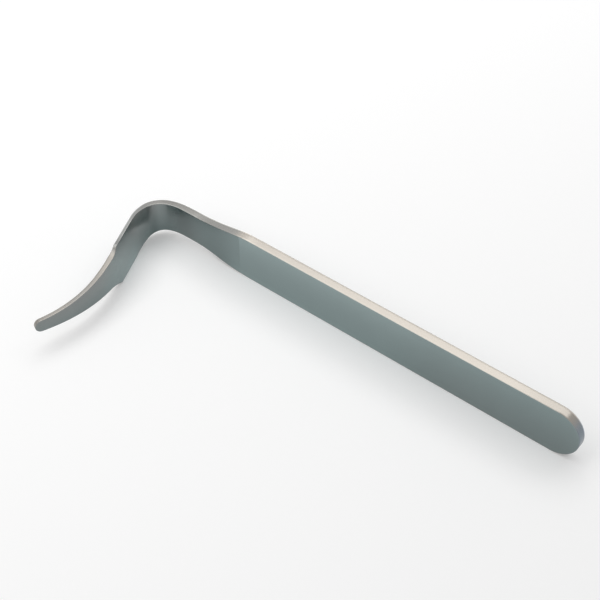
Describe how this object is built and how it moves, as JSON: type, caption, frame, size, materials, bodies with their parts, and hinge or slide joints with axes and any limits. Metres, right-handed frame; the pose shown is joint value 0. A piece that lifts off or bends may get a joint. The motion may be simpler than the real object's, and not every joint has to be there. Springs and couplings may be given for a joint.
{
  "type": "surgical retractor",
  "caption": "One-piece bent-strap surgical retractor: a flat handle with a round end, a narrow neck, a flared shoulder plate and a tapered blade curving back at its blunt tip.",
  "frame": {"origin": "centre of the footprint, in the plane that the strap's lower side edge stands on", "axes": "+Z across the strap's width, up when it stands on its side edge as in the picture; +X along the handle towards its round end; the blade reaches towards -Y"},
  "size_m": [0.241, 0.1012, 0.024],
  "materials": {
    "steel": "satin"
  },
  "bodies": {
    "root": {"retractor": "steel"}
  },
  "joints": []
}
